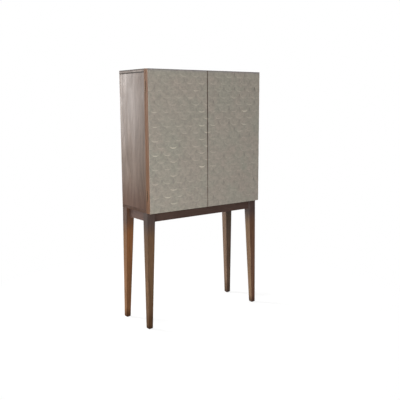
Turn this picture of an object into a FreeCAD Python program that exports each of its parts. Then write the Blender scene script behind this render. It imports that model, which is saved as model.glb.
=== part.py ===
"""A tall two-door sideboard on a four-legged stand, with carved fish-scale door faces.

Millimetres. The origin is on the floor under the middle of the cabinet, +Z is up,
the doors face -Y and +X is to the right of someone who looks at the doors.
"""
import FreeCAD, Part
import math
import os
import Sketcher

# Driving dimensions, each with what it measures.
SIZES = {
    "width": (900, "case and both doors, side to side"),
    "depth": (350, "carved door front to back panel"),
    "height": (1650, "floor to top board"),
    "stand_height": (760, "floor to underside of the case"),
    "board": (20, "top, bottom and side boards, thickness"),
    "back_board": (6, "back panel, thickness"),
    "back_set_in": (1, "back panel in from the boards' back edges"),
    "rebate": (10, "how far the back panel is let into the boards"),
    "rebate_slack": (0.5, "room round the back panel in its rebate"),
    "edge_break": (1.5, "chamfer on the top board's upper edges"),
    "frame_thick": (13, "face frame, front to back"),
    "stile_width": (35, "face frame stile, side to side"),
    "hinge_gap": (3, "face frame to door back"),
    "door_gap": (4, "seam between the two doors"),
    "door_reveal": (1, "door edge short of the case at top and bottom"),
    "core_thick": (20, "wooden core of a door"),
    "carving_base": (7.4, "solid wood behind the carved scales"),
    "scale_rise": (2.6, "how far a scale's tip stands out of the base"),
    "scale_sink": (0.15, "how deep the top of a row is buried in the base"),
    "scale_width": (90, "wanted width of one scale"),
    "scale_row": (44.5, "wanted height of one row of scales"),
    "scale_bow": (1.02, "radius of a scale's edge over half its width"),
    "leg_top": (55, "leg, square, at the aprons"),
    "leg_foot": (32, "leg, square, at the foot"),
    "leg_splay": (7, "how far a foot stands out sideways past the case"),
    "leg_chamfer": (2, "chamfer of the leg's long edges"),
    "foot_chamfer": (3, "chamfer round the foot"),
    "glide_size": (18, "square glide under a foot"),
    "glide_thick": (3, "glide under a foot"),
    "apron_height": (60, "apron, top to bottom"),
    "apron_thick": (20, "apron"),
    "front_set_back": (11, "front and back aprons behind the leg faces"),
    "side_set_back": (20, "side aprons behind the leg faces"),
    "tenon_thick": (8, "apron tenon"),
    "tenon_length": (20, "apron tenon, into the leg"),
    "tenon_shoulder": (10, "apron above and below its tenon"),
    "tenon_slack": (0.2, "room round a tenon in its mortise"),
    "block_reach": (60, "corner block along an apron, from the leg"),
    "block_height": (40, "corner block"),
    "shelf_thick": (18, "shelf"),
    "shelf_slack": (0.5, "shelf end to side panel, and shelf to back panel"),
    "shelf_set_back": (8, "shelf front behind the face frame"),
    "cleat": (15, "square cleat under each shelf end"),
    "cleat_inset": (20, "cleat end short of the shelf's front and back"),
    "hinge_length": (64, "butt hinge barrel and leaves"),
    "hinge_inset": (110, "door end to the middle of a hinge"),
    "leaf_width": (25, "hinge axis to the leaf's edge"),
    "leaf_thick": (1.3, "hinge leaf"),
    "barrel_radius": (3.5, "hinge barrel"),
    "barrel_slack": (0.5, "room round the barrel in the wood"),
    "knuckle_gap": (0.3, "between knuckles, and knuckle to the other leaf"),
    "pin_radius": (1.75, "hinge pin"),
    "pin_slack": (0.05, "running fit of the pin"),
    "pin_head_radius": (3, "head on top of a hinge pin"),
    "pin_head": (1.5, "height of a pin head"),
    "latch_inset": (28, "middle of the cabinet to the middle of a latch"),
    "latch_width": (18, "latch housing, side to side"),
    "latch_height": (14, "latch housing, top to bottom"),
    "latch_length": (50, "latch housing, front to back"),
    "latch_set_back": (2, "latch housing behind the face frame's front"),
    "plunger_width": (10, "latch plunger, side to side"),
    "plunger_height": (8, "latch plunger, top to bottom"),
    "plunger_length": (32, "latch plunger, front to back"),
    "plunger_travel": (3, "how far the plunger is pushed in"),
    "plunger_slack": (0.2, "room round the plunger in its housing"),
    "plunger_gap": (0.3, "plunger tip to strike plate, door shut"),
    "plunger_end_room": (1, "free room behind the plunger, pushed in"),
    "strike_size": (13, "strike plate on the door, square"),
    "strike_thick": (1, "strike plate"),
}

SCALE_FACETS = 7
SHELVES = ("lower", "upper")
SIDES = {"left": -1, "right": 1}
ENDS = {"front": -1, "back": 1}


class Size:
    """A length, kept as its number and as the sheet expression that gives it."""

    def __init__(self, value, text):
        self.value = value
        self.text = text

    @staticmethod
    def of(item):
        return item if isinstance(item, Size) else Size(item, f"({item})")

    def __add__(self, other):
        other = Size.of(other)
        return Size(self.value + other.value, f"({self.text} + {other.text})")

    def __sub__(self, other):
        other = Size.of(other)
        return Size(self.value - other.value, f"({self.text} - {other.text})")

    def __mul__(self, other):
        other = Size.of(other)
        return Size(self.value * other.value, f"({self.text} * {other.text})")

    def __truediv__(self, other):
        other = Size.of(other)
        return Size(self.value / other.value, f"({self.text} / {other.text})")

    def __neg__(self):
        return self * -1

    def __rmul__(self, other):
        return self * other


def make_sheet(doc):
    """The sheet of driving dimensions, and a Size for each."""
    sheet = doc.addObject("Spreadsheet::Sheet", "Sizes")
    sizes = {}
    for row, (name, (value, meaning)) in enumerate(SIZES.items(), start=1):
        sheet.set(f"A{row}", name)
        sheet.set(f"B{row}", str(value))
        sheet.set(f"C{row}", meaning)
        sheet.setAlias(f"B{row}", name)
        sizes[name] = Size(value, f"Sizes.{name}")
    doc.recompute()
    return sizes


document = FreeCAD.newDocument("sideboard")
size = make_sheet(document)
NOUGHT = Size(0, "0")

# Levels from front to back.
DOOR_FRONT = -size["depth"] / 2
CARVING_FACE = DOOR_FRONT + size["scale_rise"]
CORE_FRONT = CARVING_FACE + size["carving_base"]
DOOR_BACK = CORE_FRONT + size["core_thick"]
FRAME_FRONT = DOOR_BACK + size["hinge_gap"]
CASE_FRONT = FRAME_FRONT + size["frame_thick"]
CASE_BACK = size["depth"] / 2
BACK_FACE = CASE_BACK - size["back_set_in"]
BACK_FRONT = BACK_FACE - size["back_board"]

# Levels from the floor up.
APRON_BOTTOM = size["stand_height"] - size["apron_height"]
CASE_BOTTOM = size["stand_height"]
CASE_FLOOR = CASE_BOTTOM + size["board"]
CASE_TOP = size["height"]
CASE_CEILING = CASE_TOP - size["board"]
DOOR_BOTTOM = CASE_BOTTOM + size["door_reveal"]
DOOR_TOP = CASE_TOP - size["door_reveal"]

# Distances from the middle of the cabinet to the side.
HALF_WIDTH = size["width"] / 2
SIDE_INNER = HALF_WIDTH - size["board"]
STILE_INNER = HALF_WIDTH - size["stile_width"]

HINGE_AXIS_Y = FRAME_FRONT - size["hinge_gap"] / 2
HINGE_MIDDLES = {"lower": DOOR_BOTTOM + size["hinge_inset"], "upper": DOOR_TOP - size["hinge_inset"]}
LATCH_MIDDLE = CASE_CEILING - size["latch_height"] / 2


def span(one, other):
    """Two places as a low and high pair."""
    return (one, other) if one.value < other.value else (other, one)


def about(middle, whole):
    """The low and high end of a length centred on a place."""
    return middle - whole / 2, middle + whole / 2


def origin_feature(body, role):
    return next(item for item in body.Origin.OriginFeatures if item.Role == role)


def new_body(label):
    body = document.addObject("PartDesign::Body", label)
    body.Label = label
    return body


def new_sketch(body, offset, role="XY_Plane"):
    """A sketch on one of the body's own planes, moved along its normal by the offset."""
    sketch = body.newObject("Sketcher::SketchObject", "outline")
    sketch.AttachmentSupport = (origin_feature(body, role), [""])
    sketch.MapMode = "FlatFace"
    sketch.setExpression("AttachmentOffset.Base.z", offset.text)
    return sketch


def bind(sketch, constraint, length):
    """Adds a dimension and ties it to the sheet."""
    index = sketch.addConstraint(constraint)
    sketch.setExpression(f"Constraints[{index}]", length.text)


def place_point(sketch, geometry, end, spot):
    """Pins one point of a piece of geometry at a place counted from the sketch's origin."""
    for kind, length in zip(("DistanceX", "DistanceY"), spot):
        bind(sketch, Sketcher.Constraint(kind, -1, 1, geometry, end, length.value), length)


def polygon(sketch, corners):
    """A closed outline of straight lines through the corners."""
    points = [FreeCAD.Vector(x.value, y.value, 0) for x, y in corners]
    count = len(points)
    for index in range(count):
        sketch.addGeometry(Part.LineSegment(points[index], points[(index + 1) % count]), False)
    for index in range(count):
        sketch.addConstraint(Sketcher.Constraint("Coincident", index, 2, (index + 1) % count, 1))
    for index, corner in enumerate(corners):
        place_point(sketch, index, 1, corner)


def rectangle(sketch, x, y):
    polygon(sketch, [(x[0], y[0]), (x[1], y[0]), (x[1], y[1]), (x[0], y[1])])


def circle(sketch, middle, radius):
    centre = FreeCAD.Vector(middle[0].value, middle[1].value, 0)
    sketch.addGeometry(Part.Circle(centre, FreeCAD.Vector(0, 0, 1), radius.value), False)
    place_point(sketch, 0, 3, middle)
    bind(sketch, Sketcher.Constraint("Radius", 0, radius.value), radius)


def chamfered_rectangle(sketch, x, y, cut):
    """A rectangle whose four corners are cut off at 45 degrees."""
    polygon(sketch, [
        (x[0] + cut, y[0]), (x[1] - cut, y[0]),
        (x[1], y[0] + cut), (x[1], y[1] - cut),
        (x[1] - cut, y[1]), (x[0] + cut, y[1]),
        (x[0], y[1] - cut), (x[0], y[0] + cut),
    ])


def extrude(body, sketch, length, kind="Pad", backwards=False):
    """Pads or pockets a sketch; a pocket runs along the sketch's normal, as a pad does."""
    feature = body.newObject(f"PartDesign::{kind}", kind.lower())
    feature.Profile = (sketch, [""])
    feature.setExpression("Length", length.text)
    feature.Reversed = backwards != (kind == "Pocket")
    return feature


def add_block(body, x, y, z):
    sketch = new_sketch(body, z[0])
    rectangle(sketch, x, y)
    return extrude(body, sketch, z[1] - z[0])


def cut_block(body, x, y, z):
    sketch = new_sketch(body, z[0])
    rectangle(sketch, x, y)
    return extrude(body, sketch, z[1] - z[0], "Pocket")


def add_round(body, middle, radius, z):
    sketch = new_sketch(body, z[0])
    circle(sketch, middle, radius)
    return extrude(body, sketch, z[1] - z[0])


def cut_round(body, middle, radius, z):
    sketch = new_sketch(body, z[0])
    circle(sketch, middle, radius)
    return extrude(body, sketch, z[1] - z[0], "Pocket")


def block(label, x, y, z):
    """A plain rectangular piece."""
    body = new_body(label)
    add_block(body, x, y, z)
    return body


def group(label, bodies):
    """Like pieces that share one node, as separate solids."""
    compound = document.addObject("Part::Compound", label)
    compound.Label = label
    compound.Links = bodies
    return compound


def hinge_axis(sign):
    return sign * HALF_WIDTH, HINGE_AXIS_Y


def hinge_recess(body, sign):
    """Hollows the wood round each hinge barrel and its pin's head."""
    reach = size["hinge_length"] + 2 * (size["pin_head"] + size["barrel_slack"])
    radius = size["barrel_radius"] + size["barrel_slack"]
    for middle in HINGE_MIDDLES.values():
        cut_round(body, hinge_axis(sign), radius, about(middle, reach))


def break_upper_edges(body, feature):
    """A small chamfer along the top board's upper edges, apart from the one behind the face frame."""
    reach = size["edge_break"].value
    edges = [
        f"Edge{number}" for number, edge in enumerate(feature.Shape.Edges, start=1)
        if edge.BoundBox.ZMin > CASE_TOP.value - reach and edge.BoundBox.YMax > CASE_FRONT.value + reach
    ]
    chamfer = body.newObject("PartDesign::Chamfer", "edge_break")
    chamfer.Base = (feature, edges)
    chamfer.setExpression("Size", size["edge_break"].text)


def case_boards():
    """Top and bottom boards that run over the ends of the side panels, rebated for the back panel."""
    full_width = (-HALF_WIDTH, HALF_WIDTH)
    case_depth = (CASE_FRONT, CASE_BACK)
    rebate_depth = (BACK_FRONT, CASE_BACK)
    rebate_width = (-SIDE_INNER - size["rebate"], SIDE_INNER + size["rebate"])

    top = new_body("top_board")
    add_block(top, full_width, case_depth, (CASE_CEILING, CASE_TOP))
    rebated = cut_block(top, rebate_width, rebate_depth, (CASE_CEILING, CASE_CEILING + size["rebate"]))
    document.recompute()
    break_upper_edges(top, rebated)

    bottom = new_body("bottom_board")
    add_block(bottom, full_width, case_depth, (CASE_BOTTOM, CASE_FLOOR))
    cut_block(bottom, rebate_width, rebate_depth, (CASE_FLOOR - size["rebate"], CASE_FLOOR))
    return [top, bottom]


def side_panel(side):
    sign = SIDES[side]
    panel = new_body(f"{side}_side_panel")
    upright = (CASE_FLOOR, CASE_CEILING)
    add_block(panel, span(sign * HALF_WIDTH, sign * SIDE_INNER), (CASE_FRONT, CASE_BACK), upright)
    rebate_end = sign * (SIDE_INNER + size["rebate"])
    cut_block(panel, span(sign * SIDE_INNER, rebate_end), (BACK_FRONT, CASE_BACK), upright)
    return panel


def back_panel():
    let_in = size["rebate"] - size["rebate_slack"]
    half = SIDE_INNER + let_in
    upright = (CASE_FLOOR - let_in, CASE_CEILING + let_in)
    return block("back_panel", (-half, half), (BACK_FRONT, BACK_FACE), upright)


def face_frame():
    """Two full-height stiles with a rail between them at top and bottom."""
    front_to_back = (FRAME_FRONT, CASE_FRONT)
    pieces = []
    for side, sign in SIDES.items():
        stile = new_body(f"{side}_stile")
        add_block(stile, span(sign * HALF_WIDTH, sign * STILE_INNER), front_to_back, (CASE_BOTTOM, CASE_TOP))
        hinge_recess(stile, sign)
        pieces.append(stile)
    for name, upright in (("bottom_rail", (CASE_BOTTOM, CASE_FLOOR)), ("top_rail", (CASE_CEILING, CASE_TOP))):
        pieces.append(block(name, (-STILE_INNER, STILE_INNER), front_to_back, upright))
    return pieces


def shelves():
    """Shelves that part the inside into equal bays, each on a cleat at either end."""
    pieces = []
    bays = len(SHELVES) + 1
    bay = (CASE_CEILING - CASE_FLOOR - size["shelf_thick"] * len(SHELVES)) / bays
    half = SIDE_INNER - size["shelf_slack"]
    front_to_back = (CASE_FRONT + size["shelf_set_back"], BACK_FRONT - size["shelf_slack"])
    cleat_run = (front_to_back[0] + size["cleat_inset"], front_to_back[1] - size["cleat_inset"])
    for index, name in enumerate(SHELVES):
        underside = CASE_FLOOR + bay * (index + 1) + size["shelf_thick"] * index
        shelf_upright = (underside, underside + size["shelf_thick"])
        cleat_upright = (underside - size["cleat"], underside)
        pieces.append(block(f"{name}_shelf", (-half, half), front_to_back, shelf_upright))
        for side, sign in SIDES.items():
            across = span(sign * SIDE_INNER, sign * (SIDE_INNER - size["cleat"]))
            pieces.append(block(f"{name}_{side}_cleat", across, cleat_run, cleat_upright))
    return pieces


def leg_corner(sign_x, sign_y):
    """The outer corner of a leg: flush with the case's side and with its back or face frame."""
    return sign_x * HALF_WIDTH, FRAME_FRONT if sign_y < 0 else CASE_BACK


def apron_middles(sign_x, sign_y):
    """Where the middles of a leg's two aprons lie: X for the side one, Y for the front or back one."""
    corner_x, corner_y = leg_corner(sign_x, sign_y)
    half = size["apron_thick"] / 2
    middle_x = corner_x - sign_x * (size["side_set_back"] + half)
    middle_y = corner_y - sign_y * (size["front_set_back"] + half)
    return middle_x, middle_y


def leg(end, side):
    """A square leg that tapers and leans a little to its side, with a mortise for each of its aprons."""
    sign_x, sign_y = SIDES[side], ENDS[end]
    corner_x, corner_y = leg_corner(sign_x, sign_y)
    inset = size["foot_chamfer"]
    foot_x = corner_x + sign_x * size["leg_splay"]
    sections = [
        (size["stand_height"], corner_x, size["leg_top"], NOUGHT),
        (APRON_BOTTOM, corner_x, size["leg_top"], NOUGHT),
        (size["glide_thick"] + inset, foot_x, size["leg_foot"], NOUGHT),
        (size["glide_thick"], foot_x, size["leg_foot"], inset),
    ]
    body = new_body(f"{end}_{side}_leg")
    sketches = []
    for level, outer_x, square, inward in sections:
        sketch = new_sketch(body, level)
        across = span(outer_x - sign_x * inward, outer_x - sign_x * (square - inward))
        along = span(corner_y - sign_y * inward, corner_y - sign_y * (square - inward))
        chamfered_rectangle(sketch, across, along, size["leg_chamfer"])
        sketches.append(sketch)
    loft = body.newObject("PartDesign::AdditiveLoft", "taper")
    loft.Profile = (sketches[0], [""])
    loft.Sections = [(sketch, [""]) for sketch in sketches[1:]]
    loft.Ruled = True

    slack = size["tenon_slack"]
    width = size["tenon_thick"] + 2 * slack
    upright = (APRON_BOTTOM + size["tenon_shoulder"] - slack, CASE_BOTTOM - size["tenon_shoulder"] + slack)
    middle_x, middle_y = apron_middles(sign_x, sign_y)
    inner_x, inner_y = corner_x - sign_x * size["leg_top"], corner_y - sign_y * size["leg_top"]
    depth = size["tenon_length"] + slack
    cut_block(body, span(inner_x, inner_x + sign_x * depth), about(middle_y, width), upright)
    cut_block(body, about(middle_x, width), span(inner_y, inner_y + sign_y * depth), upright)
    return body


def apron(label, run, middle, lengthwise):
    """A rail between two legs with a tenon at each end, along X or along Y."""
    body = new_body(label)
    tenon_run = (run[0] - size["tenon_length"], run[1] + size["tenon_length"])
    shoulder = size["tenon_shoulder"]
    thick, thin = about(middle, size["apron_thick"]), about(middle, size["tenon_thick"])
    upright, tenon_upright = (APRON_BOTTOM, CASE_BOTTOM), (APRON_BOTTOM + shoulder, CASE_BOTTOM - shoulder)
    if lengthwise:
        add_block(body, run, thick, upright)
        add_block(body, tenon_run, thin, tenon_upright)
    else:
        add_block(body, thick, run, upright)
        add_block(body, thin, tenon_run, tenon_upright)
    return body


def stand():
    """Legs, aprons, corner blocks and the glides under the feet."""
    pieces, glides = [], []
    for end, sign_y in ENDS.items():
        for side, sign_x in SIDES.items():
            pieces.append(leg(end, side))
            pieces.append(corner_block(end, side))
            corner_x, corner_y = leg_corner(sign_x, sign_y)
            half = size["leg_foot"] / 2
            across = about(corner_x + sign_x * (size["leg_splay"] - half), size["glide_size"])
            along = about(corner_y - sign_y * half, size["glide_size"])
            glides.append(block(f"{end}_{side}_glide", across, along, (NOUGHT, size["glide_thick"])))
    pieces.append(group("foot_glides", glides))

    across = (size["leg_top"] - HALF_WIDTH, HALF_WIDTH - size["leg_top"])
    along = (FRAME_FRONT + size["leg_top"], CASE_BACK - size["leg_top"])
    for end, sign_y in ENDS.items():
        pieces.append(apron(f"{end}_apron", across, apron_middles(1, sign_y)[1], True))
    for side, sign_x in SIDES.items():
        pieces.append(apron(f"{side}_apron", along, apron_middles(sign_x, 1)[0], False))
    return pieces


def corner_block(end, side):
    """A glued block that fits round the leg's inner corner and against both aprons."""
    sign_x, sign_y = SIDES[side], ENDS[end]
    corner_x, corner_y = leg_corner(sign_x, sign_y)
    middle_x, middle_y = apron_middles(sign_x, sign_y)
    face_x = middle_x - sign_x * size["apron_thick"] / 2
    face_y = middle_y - sign_y * size["apron_thick"] / 2
    leg_x, leg_y = corner_x - sign_x * size["leg_top"], corner_y - sign_y * size["leg_top"]
    body = new_body(f"{end}_{side}_corner_block")
    sketch = new_sketch(body, CASE_BOTTOM - size["block_height"])
    polygon(sketch, [
        (leg_x, face_y),
        (leg_x - sign_x * size["block_reach"], face_y),
        (face_x, leg_y - sign_y * size["block_reach"]),
        (face_x, leg_y),
        (leg_x, leg_y),
    ])
    extrude(body, sketch, size["block_height"])
    return body


def scale_row_edge(edges, columns, half_first):
    """Corners along the lower edge of a row of scales, from left to right, with the tips at height nought.

    Each scale's edge is an arc cut into equal facets, with a flat one at the tip. A row that starts
    with half a scale also ends with one.
    """
    pitch = (edges[1] - edges[0]) / columns
    radius = pitch * size["scale_bow"] / 2
    facet = 2 * math.asin(1 / size["scale_bow"].value) / SCALE_FACETS
    steps = [index - SCALE_FACETS / 2 for index in range(SCALE_FACETS)]

    def height(step):
        return radius * (math.cos(facet / 2) - math.cos(step * facet))

    corners = []
    for index in range(columns + 1):
        middle = edges[0] + pitch * (index if half_first else index + 0.5)
        corners += [(middle + radius * math.sin(step * facet), height(step)) for step in steps]
    margin = pitch.value / (4 * SCALE_FACETS)
    low, high = edges[0].value + margin, edges[1].value - margin
    end_height = height(0.5 if half_first else SCALE_FACETS / 2)
    inner = [corner for corner in corners if low < corner[0].value < high]
    return [(edges[0], end_height)] + inner + [(edges[1], end_height)]


def scale_row(body, edges, level, columns, half_first, row):
    """One row of scales: a plate tilted so that the tips on its lower edge stand out.

    The tips are at the given level, and the plate sinks into the base two rows higher up. It reaches
    past the base's face at the tips and stays short of the panel's back at its top.
    """
    top = row * 2
    thickness = (size["scale_rise"] + size["carving_base"]) / 2
    sketch = new_sketch(body, -DOOR_FRONT, "XZ_Plane")
    lean_back = FreeCAD.Rotation(FreeCAD.Vector(-1, 0, 0), 1)
    sketch.AttachmentOffset = FreeCAD.Placement(FreeCAD.Vector(), lean_back)
    sketch.setExpression("AttachmentOffset.Base.y", level.text)
    slope = (size["scale_rise"] + size["scale_sink"]) / top
    sketch.setExpression("AttachmentOffset.Rotation.Angle", f"atan({slope.text})")
    polygon(sketch, scale_row_edge(edges, columns, half_first) + [(edges[1], top), (edges[0], top)])
    return extrude(body, sketch, thickness, backwards=True)


def scale_panel(side, edges):
    """A door's carved face: overlapping rows of scales on a base, every second one moved half a scale."""
    height = DOOR_TOP - DOOR_BOTTOM
    columns = round((edges[1] - edges[0]).value / size["scale_width"].value)
    rows = round(height.value / size["scale_row"].value)
    row = height / rows
    body = new_body(f"{side}_scale_panel")
    add_block(body, edges, (CARVING_FACE, CORE_FRONT), (DOOR_BOTTOM, DOOR_TOP))
    for first_row in (1, 2):
        feature = scale_row(body, edges, DOOR_TOP - row * first_row, columns, first_row == 1, row)
        repeats = (rows + 1 - first_row) // 2 + 1
        pattern = body.newObject("PartDesign::LinearPattern", "rows")
        pattern.Originals = [feature]
        pattern.Direction = (origin_feature(body, "Z_Axis"), [""])
        pattern.Reversed = True
        pattern.setExpression("Length", (row * 2 * (repeats - 1)).text)
        pattern.Occurrences = repeats
        body.Tip = pattern
    # The first row starts above the door and the last one ends below it.
    full_depth = (DOOR_FRONT - size["scale_rise"], CORE_FRONT)
    margin = row * 3
    cut_block(body, edges, full_depth, (DOOR_TOP, DOOR_TOP + margin))
    cut_block(body, edges, full_depth, (DOOR_BOTTOM - margin, DOOR_BOTTOM))
    return body


def frame_leaf(label, sign, middle):
    """The hinge leaf on the face frame, with a knuckle at each end of the barrel."""
    low, high = about(middle, size["hinge_length"])
    third = size["hinge_length"] / 3
    slit = size["knuckle_gap"] / 2
    knuckles = ((low, low + third - slit), (high - third + slit, high))
    return hinge_leaf(label, sign, (low, high), knuckles, span(FRAME_FRONT, FRAME_FRONT - size["leaf_thick"]))


def door_leaf(label, sign, middle):
    """The hinge leaf on the door's back, with the middle knuckle."""
    low, high = about(middle, size["hinge_length"])
    third = size["hinge_length"] / 3
    slit = size["knuckle_gap"] / 2
    knuckles = ((low + third + slit, high - third - slit),)
    return hinge_leaf(label, sign, (low, high), knuckles, span(DOOR_BACK, DOOR_BACK + size["leaf_thick"]))


def hinge_leaf(label, sign, upright, knuckles, thickness):
    """A flat leaf cut back from the barrel, except where it runs into its own bored knuckles."""
    axis = hinge_axis(sign)
    edge = axis[0] - sign * size["leaf_width"]
    clear = axis[0] - sign * (size["barrel_radius"] + size["knuckle_gap"])
    body = new_body(label)
    add_block(body, span(clear, edge), thickness, upright)
    for knuckle in knuckles:
        add_block(body, span(axis[0], edge), thickness, knuckle)
        add_round(body, axis, size["barrel_radius"], knuckle)
    cut_round(body, axis, size["pin_radius"] + size["pin_slack"], upright)
    return body


def hinge_pin(label, sign, middle):
    """A pin as long as the barrel, with a head on top that keeps it from dropping out."""
    low, high = about(middle, size["hinge_length"])
    body = new_body(label)
    add_round(body, hinge_axis(sign), size["pin_radius"], (low, high))
    add_round(body, hinge_axis(sign), size["pin_head_radius"], (high, high + size["pin_head"]))
    return body


def door(side):
    """A door: wooden core, carved face, hinges and the strike plate of its latch."""
    sign = SIDES[side]
    edges = span(sign * HALF_WIDTH, sign * size["door_gap"] / 2)
    core = new_body(f"{side}_door_core")
    add_block(core, edges, (CORE_FRONT, DOOR_BACK), (DOOR_BOTTOM, DOOR_TOP))
    hinge_recess(core, sign)
    pieces = [core, scale_panel(side, edges)]
    makers = {"hinge_frame_leaves": frame_leaf, "hinge_door_leaves": door_leaf, "hinge_pins": hinge_pin}
    for name, maker in makers.items():
        label = f"{side}_{name}"
        like = [maker(f"{label}_{place}", sign, middle) for place, middle in HINGE_MIDDLES.items()]
        pieces.append(group(label, like))
    strike = size["strike_size"]
    across = about(sign * size["latch_inset"], strike)
    depth = (DOOR_BACK, DOOR_BACK + size["strike_thick"])
    pieces.append(block(f"{side}_strike_plate", across, depth, about(LATCH_MIDDLE, strike)))
    return pieces


def latch(side):
    """A push latch under the top board: a housing with a slot, and the plunger that slides in it."""
    middle = SIDES[side] * size["latch_inset"]
    front = FRAME_FRONT + size["latch_set_back"]
    tip = DOOR_BACK + size["strike_thick"] + size["plunger_gap"]
    plunger_end = tip + size["plunger_length"]
    slot_end = plunger_end + size["plunger_travel"] + size["plunger_end_room"]
    room = size["plunger_slack"] * 2
    housing = new_body(f"{side}_latch_housing")
    add_block(housing, about(middle, size["latch_width"]), (front, front + size["latch_length"]),
              (CASE_CEILING - size["latch_height"], CASE_CEILING))
    cut_block(housing, about(middle, size["plunger_width"] + room), (front, slot_end),
              about(LATCH_MIDDLE, size["plunger_height"] + room))
    plunger = block(f"{side}_latch_plunger", about(middle, size["plunger_width"]), (tip, plunger_end),
                    about(LATCH_MIDDLE, size["plunger_height"]))
    return [housing, plunger]


def build():
    pieces = case_boards() + [back_panel()] + face_frame() + shelves() + stand()
    for side in SIDES:
        pieces.append(side_panel(side))
        pieces += door(side) + latch(side)
    return pieces


def check(pieces):
    """Stops before anything is written if a feature failed or a shape is not sound."""
    for item in document.Objects:
        if {"Invalid", "Error"} & set(item.State):
            raise RuntimeError(f"{item.Label} failed: {item.State}")
        if item.isDerivedFrom("PartDesign::Pocket") and item.BaseFeature.Shape.Volume <= item.Shape.Volume:
            raise RuntimeError(f"{item.Label} cuts nothing")
    for piece in pieces:
        if piece.Shape.isNull() or not piece.Shape.isValid() or not piece.Shape.Solids:
            raise RuntimeError(f"{piece.Label} has no sound shape")


def write(pieces):
    os.makedirs("parts", exist_ok=True)
    for piece in pieces:
        piece.Shape.exportStep(f"parts/{piece.Label}.step")


sub_parts = build()
document.recompute()
check(sub_parts)
write(sub_parts)
print(len(sub_parts), "sub-parts written")
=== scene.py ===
"""Looks of a tall two-door sideboard on legs, with carved fish-scale doors.

Laid out as an add-on: settings, one operator for each group of pieces and one for the stage, and a
sidebar panel that lists them. Run as a script, it builds everything in order on the loaded frame.
Lengths are metres in the frame's own axes: +Z up, doors facing -Y.
"""
import math

import bpy
import numpy as np
from bpy.props import FloatProperty, FloatVectorProperty, IntProperty, PointerProperty
from mathutils import Matrix, Vector


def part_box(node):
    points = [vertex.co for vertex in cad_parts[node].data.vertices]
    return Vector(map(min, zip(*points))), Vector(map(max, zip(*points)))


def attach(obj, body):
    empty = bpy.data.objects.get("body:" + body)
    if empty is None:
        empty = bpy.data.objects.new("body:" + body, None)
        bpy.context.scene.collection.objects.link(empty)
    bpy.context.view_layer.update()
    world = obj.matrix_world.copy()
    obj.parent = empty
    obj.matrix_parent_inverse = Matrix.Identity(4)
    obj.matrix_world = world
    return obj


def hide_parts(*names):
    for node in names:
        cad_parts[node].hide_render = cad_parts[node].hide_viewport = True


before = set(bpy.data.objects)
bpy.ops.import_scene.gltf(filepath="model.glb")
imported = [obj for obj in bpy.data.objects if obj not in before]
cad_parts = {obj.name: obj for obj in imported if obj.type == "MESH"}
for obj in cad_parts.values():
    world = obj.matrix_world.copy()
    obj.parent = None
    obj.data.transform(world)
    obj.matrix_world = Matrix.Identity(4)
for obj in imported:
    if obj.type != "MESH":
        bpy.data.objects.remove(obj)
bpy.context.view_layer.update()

bl_info = {
    "name": "Fish-scale sideboard",
    "version": (1, 0, 0),
    "blender": (4, 5, 0),
    "location": "3D View > Sidebar > Sideboard",
    "description": "Finishes a two-door sideboard: carved doors, stained wood, hinges, latches and stage",
    "category": "Object",
}

SIDES = ("left", "right")


def length(label, text, default):
    """A length setting in metres."""
    return FloatProperty(name=label, description=text, default=default, unit="LENGTH", precision=5)


def share(label, text, default, **more):
    """A setting without a unit."""
    return FloatProperty(name=label, description=text, default=default, precision=3, **more)


def angle(label, text, degrees):
    """An angle setting, given in degrees."""
    return FloatProperty(name=label, description=text, default=math.radians(degrees), subtype="ANGLE")


def colour(label, text, default):
    """A linear colour setting."""
    return FloatVectorProperty(name=label, description=text, default=default, subtype="COLOR", size=3,
                               min=0, max=1)


class SIDEBOARD_PG_carving(bpy.types.PropertyGroup):
    """Shape and lacquer of the carved door faces."""

    columns: IntProperty(name="Scales across", description="Whole scales across one door", default=5, min=1)
    rows: IntProperty(name="Rows", description="Rows of scales down one door", default=20, min=1)
    facets: IntProperty(name="Facets", description="Grid steps across half a scale", default=13, min=4)
    seed: IntProperty(name="Seed", description="Seed of the hand-carved unevenness", default=11)
    bow: share("Bow", "Radius of a scale's edge over half its width", 1.02, min=1.001)
    base: length("Base", "Solid wood behind the deepest cut", 0.0079)
    tip: length("Tip", "Height of a scale's tip over the base", 0.0011)
    lip: length("Lip", "Rounding of a scale's lower rim", 0.0006)
    crown: length("Crown", "How far a scale falls away to its flanks", 0.0005)
    pocket: length("Pocket", "Extra depth of the gouge under a cusp", 0.0007)
    pocket_reach: length("Pocket reach", "Distance from a cusp to the end of its gouge", 0.011)
    unevenness: length("Unevenness", "How far one scale stands off from the next", 0.0002)
    arris: length("Arris", "Rounding of the door's outer edges", 0.0012)
    lacquer: colour("Lacquer", "Grey-taupe lacquer", (0.247, 0.223, 0.184))
    lacquer_cool: colour("Cool lacquer", "Greener patches of the lacquer", (0.235, 0.224, 0.182))
    lacquer_warm: colour("Warm lacquer", "Browner patches of the lacquer", (0.260, 0.222, 0.185))
    # Pale gold of the worn rims, partly real and partly a painted highlight.
    rubbed_and_highlight: colour("Rubbed rim", "Pale gold where a rim is rubbed", (0.620, 0.575, 0.450))
    # Soiling and painted shade in the pockets and the seam.
    grime_and_shade: colour("Grime", "Dirt held in the pockets", (0.085, 0.077, 0.064))


class SIDEBOARD_PG_wood(bpy.types.PropertyGroup):
    """Stained wood of the case, stand, doors and inside."""

    case: colour("Case", "Mid tone of the case", (0.058, 0.037, 0.025))
    leg: colour("Leg", "Mid tone of the legs", (0.098, 0.049, 0.021))
    apron: colour("Apron", "Mid tone of the aprons", (0.051, 0.031, 0.025))
    door: colour("Door", "Mid tone of the door cores and face frame", (0.083, 0.043, 0.024))
    inside: colour("Inside", "Mid tone of shelves and blocks", (0.150, 0.080, 0.042))
    ply: colour("Back panel", "Mid tone of the plywood back", (0.210, 0.125, 0.070))
    ring: length("Ring", "Width of one growth ring", 0.011)
    ease: length("Eased edge", "Rounding of the boards' edges", 0.0010)


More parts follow.
